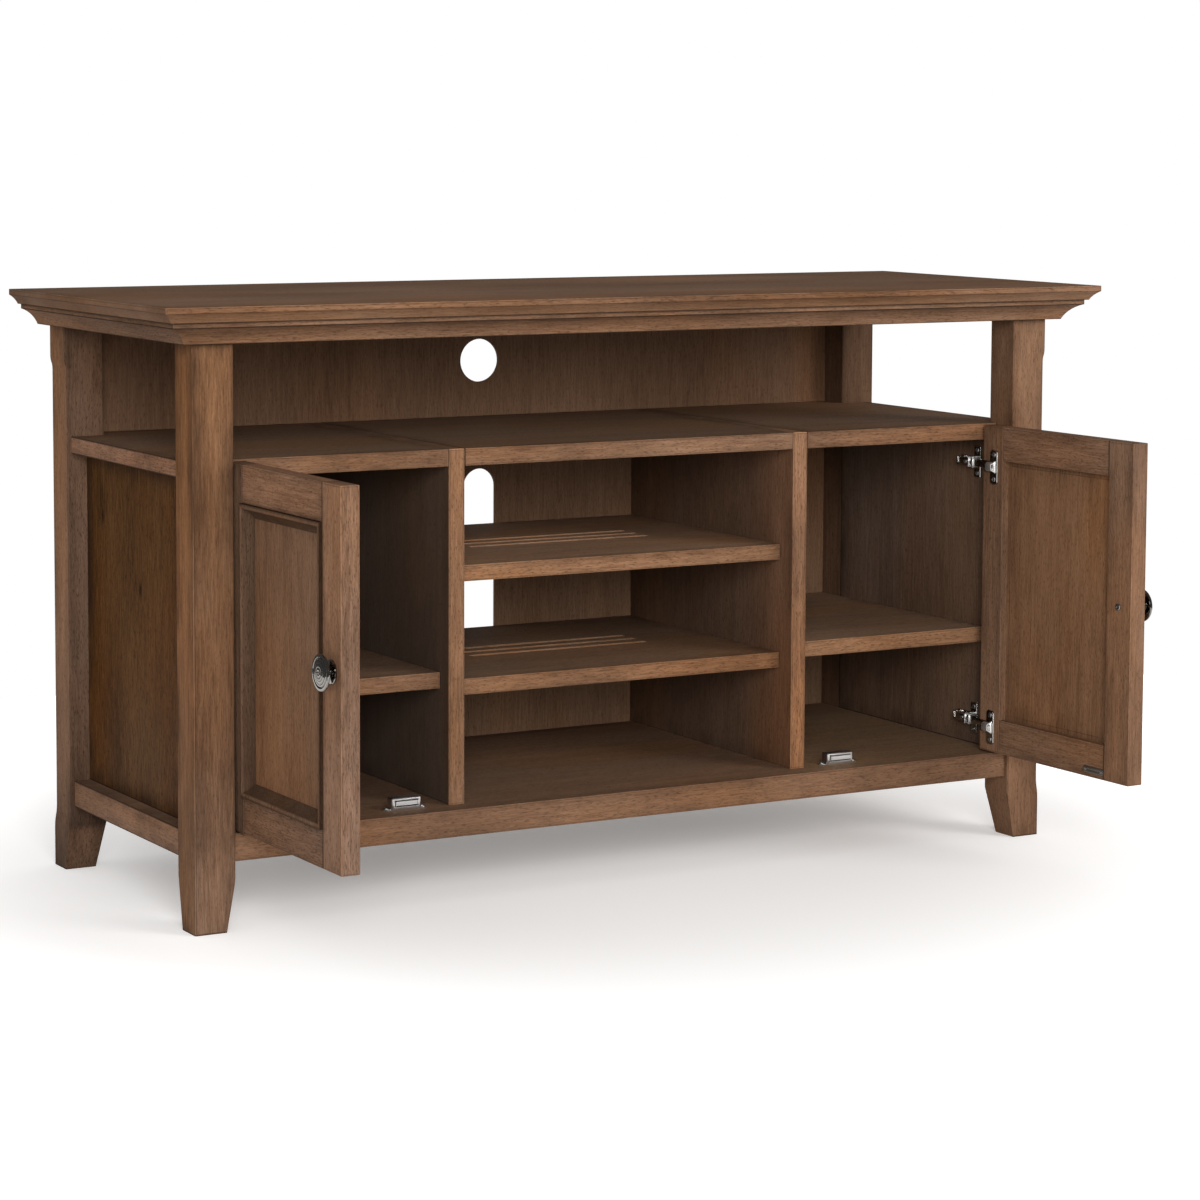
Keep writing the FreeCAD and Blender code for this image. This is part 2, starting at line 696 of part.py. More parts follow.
# each door is hung in its bay and turned open about its pins
for name, shape in make_door().items():
    shape.translate(V(hinge_edge, door_face, door_z0))
    other = mirrored(shape)
    shape.rotate(V(pivot_x, pivot_y, 0), V(0, 0, 1), -left_open)
    other.rotate(V(-pivot_x, pivot_y, 0), V(0, 0, 1), right_open)
    parts["door_left_" + name] = shape
    parts["door_right_" + name] = other

# the floor point under the middle of everything, doors open, is the origin
reach = min(s.BoundBox.YMin for s in parts.values())
for name, shape in parts.items():
    shape.translate(V(0, -(reach + depth) / 2, 0))
    shape.exportStep("parts/" + name + ".step")
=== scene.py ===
import json
import math

import bpy
from mathutils import Matrix, Vector


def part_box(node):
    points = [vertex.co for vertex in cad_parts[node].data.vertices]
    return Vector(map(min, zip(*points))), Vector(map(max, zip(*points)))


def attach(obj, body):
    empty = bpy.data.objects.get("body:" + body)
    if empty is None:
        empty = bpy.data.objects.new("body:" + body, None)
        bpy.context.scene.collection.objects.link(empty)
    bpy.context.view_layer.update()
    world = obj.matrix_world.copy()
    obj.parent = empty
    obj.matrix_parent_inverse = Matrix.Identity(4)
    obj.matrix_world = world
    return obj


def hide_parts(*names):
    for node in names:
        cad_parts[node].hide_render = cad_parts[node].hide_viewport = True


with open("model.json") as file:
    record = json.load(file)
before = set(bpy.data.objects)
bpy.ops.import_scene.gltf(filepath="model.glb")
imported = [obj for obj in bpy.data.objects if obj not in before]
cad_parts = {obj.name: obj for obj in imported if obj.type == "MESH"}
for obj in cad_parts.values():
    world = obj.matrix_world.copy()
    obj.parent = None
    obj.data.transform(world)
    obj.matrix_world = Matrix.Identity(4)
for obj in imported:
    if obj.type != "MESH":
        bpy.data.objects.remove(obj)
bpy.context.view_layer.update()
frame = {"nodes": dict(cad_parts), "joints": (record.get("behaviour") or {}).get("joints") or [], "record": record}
nodes = frame["nodes"]
print("frame in,", len(nodes), "nodes")


# shader maths: an output socket that can stand in an expression
class Wire:
    def __init__(self, socket):
        self.socket = socket

    def node(self, kind, settings=None, inputs=None, out=0):
        tree = self.socket.id_data
        made = tree.nodes.new(kind)
        for name, value in (settings or {}).items():
            if name == "stops":
                self.setStops(made.color_ramp.elements, value)
            else:
                setattr(made, name, value)
        for name, value in (inputs or {}).items():
            if isinstance(value, Wire):
                tree.links.new(value.socket, made.inputs[name])
            else:
                made.inputs[name].default_value = value
        return Wire(made.outputs[out])

    def setStops(self, elements, stops):
        while len(elements) < len(stops):
            elements.new(1.0)
        for element, (place, colour) in zip(elements, stops):
            element.position = place
            element.color = (*colour, 1.0)

    def outs(self):
        return [Wire(s) for s in self.socket.node.outputs]

    def math(self, operation, a, b=0.0):
        return self.node("ShaderNodeMath", {"operation": operation}, {0: a, 1: b})

    def __add__(self, other):
        return self.math("ADD", self, other)

    def __sub__(self, other):
        return self.math("SUBTRACT", self, other)

    def __rsub__(self, other):
        return self.math("SUBTRACT", other, self)

    def __mul__(self, other):
        return self.math("MULTIPLY", self, other)

    def __abs__(self):
        return self.math("ABSOLUTE", self)

    __radd__ = __add__
    __rmul__ = __mul__

    def least(self, other):
        return self.math("MINIMUM", self, other)

    def most(self, other):
        return self.math("MAXIMUM", self, other)

    def ramp(self, low, high):                  # 0 at low, 1 at high, eased between
        return self.node("ShaderNodeMapRange", {"interpolation_type": "SMOOTHSTEP"},
                         {"Value": self, "From Min": low, "From Max": high})

    def over(self, a, b, way="MIX"):            # colour a where this is 0, b where it is 1
        return self.node("ShaderNodeMix", {"data_type": "RGBA", "blend_type": way}, {0: self, 6: a, 7: b}, 2)


def newMaterial(name):
    mat = bpy.data.materials.new(name)
    mat.use_nodes = True
    shader = mat.node_tree.nodes["Principled BSDF"]
    coords = mat.node_tree.nodes.new("ShaderNodeTexCoord")
    return mat, shader, Wire(coords.outputs["Object"])


def setShader(shader, values):
    for name, value in values.items():
        if isinstance(value, Wire):
            shader.id_data.links.new(value.socket, shader.inputs[name])
        else:
            shader.inputs[name].default_value = value


def rgba(colour, level=1.0):
    return (*[c * level for c in colour], 1.0)


def rays(wire):
    kinds = wire.node("ShaderNodeLightPath").socket.node.outputs
    return [Wire(kinds[name]) for name in ("Is Camera Ray", "Is Glossy Ray", "Is Transmission Ray")]


def dress(mesh, mat):
    mesh.materials.clear()
    mesh.materials.append(mat)


# the photograph's view
viewSet = {"place": (-2.2451, -3.8823, 0.9782), "turn": 29.872, "tilt": 5.287, "roll": 0.259,
           "lens": 103.446, "sensor": 36.0, "shift": (-0.0021, -0.13)}


def makeCamera(s):
    data = bpy.data.cameras.new("camera")
    data.lens = s["lens"]
    data.sensor_width = s["sensor"]
    data.shift_x, data.shift_y = s["shift"]
    camera = bpy.data.objects.new("camera", data)
    aim = Matrix.Rotation(math.radians(-s["turn"]), 4, "Z")
    aim = aim @ Matrix.Rotation(math.radians(90 - s["tilt"]), 4, "X")
    aim = aim @ Matrix.Rotation(math.radians(s["roll"]), 4, "Z")
    camera.matrix_world = Matrix.Translation(s["place"]) @ aim
    bpy.context.scene.collection.objects.link(camera)
    bpy.context.scene.camera = camera


makeCamera(viewSet)
bpy.context.scene.view_settings.view_transform = "Standard"
print("camera set")

# pale floor whose glow is dimmed near the object as painted shade, soft sky that is dim overhead, two soft lamps
floorSet = {"size": 3.3, "colour": (0.87, 0.855, 0.84), "shadedNearGlow": 0.18, "farGlow": 1.0, "near": 0.30,
            "far": 1.75}
skySet = {"low": 0.85, "high": 0.45, "gloss": 0.12, "dimFrom": 0.0, "dimTo": 0.8}
lampSet = {
    "keyLamp": {"place": (-3.0, -6.6, 2.3), "aim": (0.0, 0.0, 0.4), "size": 3.2, "power": 400.0},
    "sideLamp": {"place": (3.6, -5.0, 2.6), "aim": (0.0, 0.0, 0.4), "size": 3.0, "power": 185.0},
}


def makeFloor(s):
    bpy.ops.object.select_all(action="DESELECT")
    bpy.ops.mesh.primitive_plane_add(size=s["size"])
    floor = bpy.context.object
    floor.name = "floor"
    mat, shader, coords = newMaterial("floorPaint")
    camera, glossy, through = rays(coords)
    away = coords.node("ShaderNodeVectorMath", {"operation": "LENGTH"}, {0: coords}, "Value")
    # glow low by the object and full away from it: painted shade on the floor round the object, on top of its cast
    # shadow
    glowWithPaintedShade = s["shadedNearGlow"] + away.ramp(s["near"], s["far"]) * (s["farGlow"] - s["shadedNearGlow"])
    mix = (camera.most(glossy).most(through) * glowWithPaintedShade).over((0, 0, 0, 1), (1, 1, 1, 1))
    setShader(shader, {"Base Color": rgba(s["colour"]), "Roughness": 1.0, "Specular IOR Level": 0.0,
                       "Emission Color": mix, "Emission Strength": 1.0})
    floor.data.materials.append(mat)


def makeSky(s):
    world = bpy.data.worlds.new("sky")
    bpy.context.scene.world = world
    world.use_nodes = True
    tree = world.node_tree
    back = tree.nodes["Background"]
    way = Wire(tree.nodes.new("ShaderNodeTexCoord").outputs["Generated"])
    up = way.node("ShaderNodeSeparateXYZ", None, {0: way}).outs()[2]
    camera, glossy, through = rays(way)
    soft = s["low"] + up.ramp(s["dimFrom"], s["dimTo"]) * (s["high"] - s["low"])
    level = soft * (1 - glossy) + glossy * s["gloss"]
    level = level.most(camera).most(through)
    tree.links.new(level.socket, back.inputs["Strength"])
    back.inputs["Color"].default_value = (1, 1, 1, 1)


def makeLamp(name, s):
    data = bpy.data.lights.new(name, "AREA")
    data.shape = "DISK"
    data.size = s["size"]
    data.energy = s["power"]
    lamp = bpy.data.objects.new(name, data)
    aim = Vector(s["aim"]) - Vector(s["place"])
    lamp.matrix_world = Matrix.Translation(s["place"]) @ aim.to_track_quat("-Z", "Y").to_matrix().to_4x4()
    bpy.context.scene.collection.objects.link(lamp)


makeFloor(floorSet)
makeSky(skySet)
for lampName, lampValues in lampSet.items():
    makeLamp(lampName, lampValues)
print("floor, sky and lamps set")

# stains, from the dark of the grain to its light
stains = {
    "brown": {"dark": (0.070, 0.034, 0.018), "main": (0.205, 0.111, 0.064), "light": (0.330, 0.192, 0.118)},
    "amber": {"dark": (0.045, 0.019, 0.006), "main": (0.122, 0.058, 0.021), "light": (0.200, 0.104, 0.042)},
    "umber": {"dark": (0.035, 0.018, 0.011), "main": (0.095, 0.053, 0.032), "light": (0.150, 0.090, 0.056)},
}
glazeAndShadeColour = (0.020, 0.013, 0.010)
warmTint = (1.11, 1.0, 0.86)
# what boards share, unless a board's own values say otherwise: noise scales run along and across the grain,
# and other pairs are the ends of a ramp
woodSet = {"patch": (2.2, 7.0), "flame": (3.0, 60.0), "lines": (30.0, 440.0), "pores": (150.0, 900.0),
           "smudge": (7.5, 15.0), "seedStep": (3.7, 1.3, 5.1), "poreCut": (0.54, 0.69),
           "warmCut": (0.42, 0.68), "patchDepth": 0.6, "flameDepth": 0.28, "lineDepth": 0.6,
           "poreDepth": 0.52, "poreShade": 0.6, "stops": (0.2, 0.5, 0.8), "contrast": 1.0, "broad": 1.0,
           "lipping": (0.003, 0.001), "flat": (0.0012, 0.0004), "smearAndShade": 0.46, "smearAndShadeWidth": 0.030,
           "smearAndShadeCut": (0.28, 0.74), "seam": 0.85, "seamWidth": (0.0023, 0.00092),
           "creaseWidth": (0.0013, 0.0004), "arris": 0.42, "arrisWidth": (0.0032, 0.0016),
           "arrisClear": (0.0013, 0.0007), "wearAndHighlight": 0.15, "wearAndHighlightWidth": (0.0015, 0.0006),
           "wearAndHighlightCut": (0.64, 0.44), "wearAndHighlightShade": 1.15, "rough": 0.52, "lineRough": 0.18, "glazeRough": 0.15,
           "poreRough": 0.1, "lineRise": 0.4, "flameRise": 0.3, "bump": 0.25, "bumpDepth": 0.0004,
           "specular": 0.025, "hidden": 0.0, "tint": (1.0, 1.0, 1.0), "face": None, "lying": False,
           "cap": None, "front": None, "frontReach": 0.15, "ends": None, "inner": None, "foot": None,
           "footRise": 0.16, "joints": (), "creases": (), "bands": (), "knots": ()}
knotSet = {"stretch": 0.45, "heart": 0.25, "stray": 1.3, "shade": 0.5}


def grainStretch(grain, along, across):
    return [along if axis == grain else across for axis in range(3)]


def noise(place, grain, scales, shift, detail=3.0, rough=0.5, bend=0.0):
    spot = place.node("ShaderNodeMapping", None, {"Vector": place, "Location": shift,
                                                  "Scale": grainStretch(grain, *scales)})
    return spot.node("ShaderNodeTexNoise", None, {"Vector": spot, "Scale": 1.0, "Detail": detail,
                                                  "Roughness": rough, "Distortion": bend})


def endRoom(place, half):                       # how far a point lies from the ends along each axis
    return [h - abs(w) for h, w in zip(half, place.node("ShaderNodeSeparateXYZ", None, {0: place}).outs())]


def edgeRoom(a, b, c):                          # one is nothing on a face, the next is to its edge
    return abs(a.least(b).most(a.most(b).least(c)))


def knotMask(place, grain, spot, size, stray):  # 1 at a knot's heart, 0 past its ring
    aside = place.node("ShaderNodeVectorMath", {"operation": "SUBTRACT"}, {0: place, 1: spot})
    flat = aside.node("ShaderNodeVectorMath", {"operation": "MULTIPLY"},
                      {0: aside, 1: grainStretch(grain, knotSet["stretch"], 1.0)})
    far = flat.node("ShaderNodeVectorMath", {"operation": "LENGTH"}, {0: flat}, "Value")
    return (far + stray * size * knotSet["stray"]).ramp(size, size * knotSet["heart"])


def stainedWood(name, spec, centre, half, turn):
    mat, shader, coords = newMaterial(name)
    s = {**woodSet, **spec}
    grain = s["grain"]
    place = coords.node("ShaderNodeMapping", {"vector_type": "TEXTURE"},
                        {"Vector": coords, "Location": centre, "Rotation": (0, 0, turn)})
    room = endRoom(place, half)
    lipping = room[1].ramp(*s["lipping"])       # solid edge of a board, coarser than its veneer
    grained = place
    x, y, z = place.node("ShaderNodeSeparateXYZ", None, {0: place}).outs()
    if s["ends"]:                               # the edge strip's grain turns with it at the ends
        ends = room[0].ramp(*s["lipping"])
        turned = place.node("ShaderNodeCombineXYZ", None, {0: y, 1: x, 2: z})
        grained = ends.over(place, turned)
        lipping = lipping.most(ends)
    shift = [s["seed"] * step for step in s["seedStep"]]
    patch = noise(grained, grain, s["patch"], shift)
    flame = noise(grained, grain, s["flame"], shift, detail=4.0, rough=0.6, bend=0.6)
    lines = noise(grained, grain, s["lines"], shift, rough=0.65)
    pores = noise(grained, grain, s["pores"], shift, detail=1.0).ramp(*s["poreCut"])
    smudge = noise(place, grain, s["smudge"], shift, detail=4.0, rough=0.6)
    contrast = s["broad"] + lipping * (s["contrast"] - s["broad"])
    tone = (patch - 0.5) * s["patchDepth"] + (flame - 0.5) * s["flameDepth"] + (lines - 0.5) * s["lineDepth"]
    tone = 0.5 + tone * contrast
    stain = stains[s["stain"]]
    shades = [[c * s["shade"] * t for c, t in zip(stain[k], s["tint"])] for k in ("dark", "main", "light")]
    colour = tone.node("ShaderNodeValToRGB", {"stops": list(zip(s["stops"], shades))}, {0: tone})
    warm = noise(grained, grain, s["patch"], shift[::-1], detail=2.0).ramp(*s["warmCut"])
    colour = warm.over(colour, rgba(warmTint), "MULTIPLY")
    colour = (pores * s["poreDepth"] * contrast.least(1.0)).over(colour, rgba(shades[0], s["poreShade"]))
    flat = room[2].ramp(*s["flat"])             # top and underside of a lying board, top of an upright one
    # broad faces in a colour of their own: partly the veneer's own colour, partly painted light and shade, one
    # side lighter or darker by how the lamps fall on it
    if s["face"]:
        broadSide = (1 - lipping) * flat if s["lying"] else 1 - lipping
        colour = broadSide.over(colour, rgba(s["face"]), "MULTIPLY")
    # the top end of an upright board lifted back out of the painted shade on its faces
    if s["cap"]:
        colour = flat.over(colour, rgba(s["cap"]), "MULTIPLY")
    if s["front"]:                              # painted light: a paler, warmer stretch behind the front edge, where light falls in from the front
        near = (y + half[1]).ramp(s["frontReach"], 0.0) * (1 - lipping)
        colour = near.over(colour, rgba(s["front"]), "MULTIPLY")
    # end faces lighter than the rest of the edge strip: painted light on ends the lamps light less
    if s["ends"]:
        colour = ends.over(colour, rgba(s["ends"]), "MULTIPLY")
    if s["inner"]:                              # broad side past a place along x, in a colour of its own: the side panels' inner faces in their own stain, painted light on the bottom panel's right bay
        way, start, soft, shade = s["inner"]
        beyond = ((x - start) * way).ramp(-soft, soft) * (1 - lipping)
        colour = beyond.over(colour, rgba(shade), "MULTIPLY")
    rise = z + half[2]
    if s["foot"]:                               # a colour of its own toward the floor: painted shade darkening the posts' feet, painted light lifting the back panel low in the bays
        colour = rise.ramp(s["footRise"], 0.0).over(colour, rgba(s["foot"]), "MULTIPLY")
    if s["bands"]:                              # across the bead moulding from its outer wall: outer wall and slope darkened as painted shade with some dark glaze in the hollow, top strip lightened as painted light
        across = room[0].least(room[2]) * (1 / s["bands"][-1][0])
        stops = [(far / s["bands"][-1][0], (k, k, k)) for far, k in s["bands"]]
        shade = across.node("ShaderNodeValToRGB", {"stops": stops}, {0: across})
        colour = shade.node("ShaderNodeMix", {"data_type": "RGBA", "blend_type": "MULTIPLY"},
                            {0: 1.0, 6: colour, 7: shade}, 2)
    for spot, size, depth in s["knots"]:        # dark knots, by their places in the frame
        heart = knotMask(place, grain, Vector(spot) - Vector(centre), size, lines + flame - 1.0)
        colour = (heart * depth).over(colour, rgba(shades[0], knotSet["shade"]))
    edge = edgeRoom(*room) - s["hidden"]
    # dark smears near edges and joints: partly glaze, partly painted shade where the board meets other parts
    glazeAndShade = edge.ramp(s["smearAndShadeWidth"], 0.0) * smudge.ramp(*s["smearAndShadeCut"]) * s["smearAndShade"]
    near = edge.ramp(*s["seamWidth"])
    free = 1.0
    for axis in s["joints"]:                    # dark line where the board meets the next one
        seam = room[axis].ramp(*s["seamWidth"]) * near
        glazeAndShade = glazeAndShade.most(seam * s["seam"])
        free = free * (1 - seam)
    for level, depth in s["creases"]:           # dark line along a moulding, by its height on the piece: a dark joint where it meets the next piece, painted shade under the lip and in the quirks
        glazeAndShade = glazeAndShade.most(abs(rise - level).ramp(*s["creaseWidth"]) * depth)
    lining = edge.ramp(*s["arrisWidth"]) * (1 - edge.ramp(*s["arrisClear"]))
    glazeAndShade = glazeAndShade.most(lining * s["arris"] * free)
    colour = glazeAndShade.over(colour, rgba(glazeAndShadeColour))
    # light line along free arrises: partly rubbed wear, partly painted highlight where a rounded edge catches the
    # light
    wearAndHighlight = edge.ramp(*s["wearAndHighlightWidth"]) * smudge.ramp(*s["wearAndHighlightCut"]) * s["wearAndHighlight"] * free
    colour = wearAndHighlight.over(colour, rgba(shades[2], s["wearAndHighlightShade"]))
    rough = s["rough"] + (lines - 0.5) * s["lineRough"] + glazeAndShade * s["glazeRough"] + pores * s["poreRough"]
    height = lines * s["lineRise"] + flame * s["flameRise"] - pores
    bump = height.node("ShaderNodeBump", None, {"Strength": s["bump"], "Distance": s["bumpDepth"],
                                                "Height": height})
    setShader(shader, {"Base Color": colour, "Roughness": rough, "Normal": bump,
                       "Specular IOR Level": s["specular"]})
    return mat


hands = {"left": 1.0, "right": -1.0}            # which way along x leads inwards
# a door's own axes: its hinge pin and how far it stands open, from the joint
doorAxes = {}
for joint in frame["joints"]:
    shut = joint["range_deg"][0] * joint["axis"][2]
    doorAxes[joint["child"]] = (Vector(joint["pos_m"]), math.radians(-shut))


def bodyAxes(body):                             # the cabinet's are the frame's own
    return doorAxes.get(body, (Vector((0, 0, 0)), 0.0))


def bodyPlace(body):
    pin, turn = bodyAxes(body)
    return Matrix.Translation(pin) @ Matrix.Rotation(turn, 4, "Z")


def cornersOf(node, body):                      # a node's corners in its body's own axes
    pin, turn = bodyAxes(body)
    return [Matrix.Rotation(-turn, 3, "Z") @ (v.co - pin) for v in nodes[node].data.vertices]


def spread(spots):
    return [Vector([f(p[i] for p in spots) for i in range(3)]) for f in (min, max)]


def boardBox(node, body):
    low, high = spread(cornersOf(node, body))
    return bodyPlace(body) @ ((low + high) / 2), (high - low) / 2, bodyAxes(body)[1]


# grain runs along x 0, y 1 or z 2 of the board's own axes
# the cornice's dark lines: a joint at its bottom edge, painted shade in the quirks above
corniceCreases = ((0.0, 0.85), (0.0208, 0.85), (0.027, 0.85))
shelfFace = (0.88, 0.99, 1.10)
deckEnds = (1.34, 1.29, 1.33)
caseWoods = {
    "top_board": {"grain": 0, "stain": "brown", "shade": 0.82, "smearAndShade": 0.3, "broad": 0.68,
                  "face": (1.0, 1.06, 1.12), "creases": ((0.0, 0.85), (0.0122, 0.4))},
    "cornice_front": {"grain": 0, "stain": "brown", "shade": 0.86, "creases": corniceCreases},
    "cornice_left": {"grain": 1, "stain": "brown", "shade": 0.76, "creases": corniceCreases},
    "cornice_right": {"grain": 1, "stain": "brown", "shade": 0.86, "creases": corniceCreases},
    "cornice_back": {"grain": 0, "stain": "brown", "shade": 0.8},
    "post_front_left": {"grain": 2, "stain": "brown", "shade": 0.77, "tint": (1.10, 0.99, 0.82),
                        "face": (1.24, 1.12, 0.93), "foot": (0.84, 0.98, 1.28), "footRise": 0.70,
                        "contrast": 1.2, "broad": 1.2, "poreDepth": 0.3, "smearAndShade": 0.62, "wearAndHighlight": 0.4,
                        "arris": 0.55, "joints": (2,)},
    "post_front_right": {"grain": 2, "stain": "brown", "shade": 0.88, "contrast": 0.75, "broad": 0.75,
                         "foot": (0.76, 0.74, 0.72), "footRise": 0.24, "joints": (2,)},
    # back-left post: front darkened and sides lightened, painted shade and painted light, feet darkened as painted
    # shade
    "post_back_left": {"grain": 2, "stain": "brown", "shade": 0.54, "tint": (0.98, 1.05, 1.18),
                       "face": (1.95, 1.82, 1.6), "foot": (0.43, 0.45, 0.49), "joints": (2,)},
    "post_back_right": {"grain": 2, "stain": "brown", "shade": 0.55, "contrast": 0.75, "broad": 0.75,
                        "joints": (2,)},
    "deck_left": {"grain": 0, "stain": "brown", "shade": 0.91, "broad": 0.75, "patchDepth": 0.3,
                  "face": shelfFace, "joints": (0,), "ends": deckEnds},
    "deck_center": {"grain": 0, "stain": "brown", "shade": 0.92, "broad": 0.75, "patchDepth": 0.3,
                    "face": shelfFace, "joints": (0,)},
    "deck_right": {"grain": 0, "stain": "brown", "shade": 1.0, "broad": 0.75, "patchDepth": 0.3,
                   "face": shelfFace, "joints": (0,), "ends": deckEnds},
    "bottom_panel": {"grain": 0, "stain": "brown", "shade": 0.84, "contrast": 0.8, "broad": 0.75,
                     "patchDepth": 0.3, "face": (0.95, 1.03, 1.11), "joints": (0,),
                     # the right bay and the end faces lighter: painted light
                     "inner": (1, 0.257, 0.03, (1.32, 1.38, 1.3)), "ends": (1.20, 1.26, 1.38)},
    # the dividers' broad faces darkened as painted shade inside the bays, top ends kept out of it, painted light
    # behind the right one's front edge
    "divider_left": {"grain": 2, "stain": "brown", "shade": 0.88, "broad": 0.5, "face": (0.44, 0.55, 0.70),
                     "cap": (2.09, 1.88, 1.64)},
    "divider_right": {"grain": 2, "stain": "brown", "shade": 1.0, "tint": (1.06, 1.01, 0.96),
                      "broad": 0.7, "face": (0.44, 0.50, 0.59), "front": (1.6, 1.38, 1.2),
                      "cap": (1.74, 1.80, 1.79)},
    "side_panel_left": {"grain": 2, "stain": "amber", "shade": 0.73, "tint": (0.80, 0.72, 0.62),
                        "smearAndShade": 0.8, "wearAndHighlight": 0.0, "broad": 1.2, "lineDepth": 0.95, "joints": (1, 2),
                        "inner": (1, 0.0, 0.002, (1.55, 2.3, 5.2)), "foot": (1.03, 1.1, 1.3),
                        "knots": (((-0.602, 0.2737, 0.496), 0.022, 0.45),
                                  ((-0.602, 0.2700, 0.472), 0.008, 0.75),
                                  ((-0.602, 0.1466, 0.3915), 0.007, 0.85))},
    "side_panel_right": {"grain": 2, "stain": "amber", "shade": 0.72, "tint": (0.80, 0.72, 0.62),
                         "smearAndShade": 0.8, "wearAndHighlight": 0.0, "broad": 0.8, "joints": (1, 2),
                         "inner": (-1, 0.0, 0.002, (1.55, 2.3, 5.2))},
    "back_panel": {"grain": 2, "stain": "brown", "shade": 0.63, "smearAndShade": 0.3, "wearAndHighlight": 0.0, "broad": 0.7,
                   "contrast": 0.7, "foot": (1.22, 1.29, 1.33), "footRise": 0.8},
    "shelf_center_upper": {"grain": 0, "stain": "brown", "shade": 1.0, "tint": (1.05, 1.0, 0.92),
                           "broad": 0.75, "patchDepth": 0.3, "face": (1.13, 1.30, 1.50), "lying": True},
    "shelf_center_lower": {"grain": 0, "stain": "brown", "shade": 0.84, "tint": (1.05, 1.0, 0.93),
                           "broad": 0.75, "patchDepth": 0.3, "face": (0.88, 1.03, 1.20), "lying": True},
    "shelf_left": {"grain": 0, "stain": "brown", "shade": 1.0, "broad": 0.75, "patchDepth": 0.3,
                   "face": shelfFace},
    "shelf_right": {"grain": 0, "stain": "brown", "shade": 1.08, "tint": (1.06, 1.0, 0.90), "broad": 0.75,
                    "patchDepth": 0.3, "face": (1.02, 1.24, 1.50)},
}
doorWoods = {
    "stile_hinge": {"grain": 2, "stain": "brown", "shade": 0.86, "wearAndHighlight": 0.1},
    "stile_free": {"grain": 2, "stain": "brown", "shade": 0.98, "wearAndHighlight": 0.1, "contrast": 1.3,
                   "broad": 1.3},
    "rail_top": {"grain": 0, "stain": "brown", "shade": 1.08, "joints": (0,)},
    "rail_bottom": {"grain": 0, "stain": "brown", "shade": 0.88, "joints": (0,)},
    "panel": {"grain": 2, "stain": "brown", "shade": 0.83, "smearAndShade": 0.35, "wearAndHighlight": 0.0, "hidden": 0.012,
              "broad": 0.8, "contrast": 0.8, "smearAndShadeWidth": 0.035},
    "bead": {"grain": 2, "stain": "umber", "shade": 1.0, "wearAndHighlight": 0.0, "smearAndShade": 0.0,
             "bands": ((0.0, 0.35), (0.0006, 0.5), (0.0012, 1.3), (0.0052, 1.3), (0.0064, 0.7),
                       (0.0172, 0.6))},
}

# what sets one door's boards apart from the other's
handSeeds = {"left": 31, "right": 41}
handWoods = {
    "left": {"stile_hinge": {"shade": 0.72, "tint": (0.93, 1.02, 1.14), "smearAndShade": 0.75},
             "rail_top": {"shade": 1.14, "tint": (1.0, 1.02, 1.08)},
             "stile_free": {"shade": 1.06, "tint": (1.0, 1.03, 1.10), "face": (0.75, 0.80, 0.88),
                            "contrast": 1.0},
             "rail_bottom": {"shade": 0.80, "tint": (0.98, 1.06, 1.22)}},
    "right": {"panel": {"shade": 0.92, "tint": (1.02, 0.97, 0.88)},
              "stile_free": {"shade": 1.08, "tint": (0.98, 1.03, 1.10), "face": (0.90, 0.91, 0.94),
                             "contrast": 0.8, "broad": 0.65},
              "rail_top": {"shade": 1.03, "tint": (0.99, 1.02, 1.09)}},
}


def dressBoard(node, body, spec, seed):
    dress(nodes[node].data, stainedWood(node + "_stain", {**spec, "seed": seed}, *boardBox(node, body)))


for seed, (node, spec) in enumerate(caseWoods.items(), 1):
    dressBoard(node, "cabinet", spec, seed)
for hand in hands:
    for seed, (piece, spec) in enumerate(doorWoods.items(), handSeeds[hand]):
        spec = {**spec, **handWoods[hand].get(piece, {})}
        dressBoard("door_%s_%s" % (hand, piece), hand + "_door", spec, seed)
print("wood stained")

# metals: plating with faint wear and cloudiness
metalSet = {
    "nickel": {"colour": (0.50, 0.49, 0.47), "rough": 0.22, "cloud": 60.0},
    "satin": {"colour": (0.82, 0.81, 0.79), "rough": 0.48, "cloud": 60.0},
    "gunmetal": {"colour": (0.215, 0.205, 0.19), "rough": 0.08, "cloud": 45.0},
    "steel": {"colour": (0.30, 0.29, 0.28), "rough": 0.42, "cloud": 90.0},
    "dark_steel": {"colour": (0.17, 0.15, 0.13), "rough": 0.52, "cloud": 70.0},
    "catch_case": {"colour": (0.66, 0.65, 0.64), "rough": 0.30, "cloud": 40.0},
}
platingSet = {"cloudDetail": 4.0, "cloudShades": (0.92, 1.08), "cloudRough": 0.08, "wax": 0.8,
              "waxRough": 0.3}


def platedMetal(name, s, grooves=None):
    mat, shader, coords = newMaterial(name + "_plating")
    cloud = coords.node("ShaderNodeTexNoise", None, {"Vector": coords, "Scale": s["cloud"],
                                                     "Detail": platingSet["cloudDetail"]})
    colour = cloud.over(*[rgba(s["colour"], level) for level in platingSet["cloudShades"]])
    rough = s["rough"] + (cloud - 0.5) * platingSet["cloudRough"]
    if grooves:                                 # black wax left in turned grooves
        wax = grooves(coords)
        colour = (wax * platingSet["wax"]).over(colour, rgba(glazeAndShadeColour))
        rough = rough + wax * platingSet["waxRough"]
    setShader(shader, {"Base Color": colour, "Metallic": 1.0, "Roughness": rough})
    return mat


metals = {name: platedMetal(name, values) for name, values in metalSet.items()}
slotOf = {p["node"]: p["material_slot"] for p in frame["record"]["subparts"]}
for node, slot in slotOf.items():
    if slot in metals:
        dress(nodes[node].data, metals[slot])
print("metal plated")

# hand tools for the small pieces
mergeGap = 0.000002                             # points closer than this are one
facing = 0.9                                    # least share of a normal along the way its face looks
slack = 0.001                                   # how far a picked edge may lie from its line


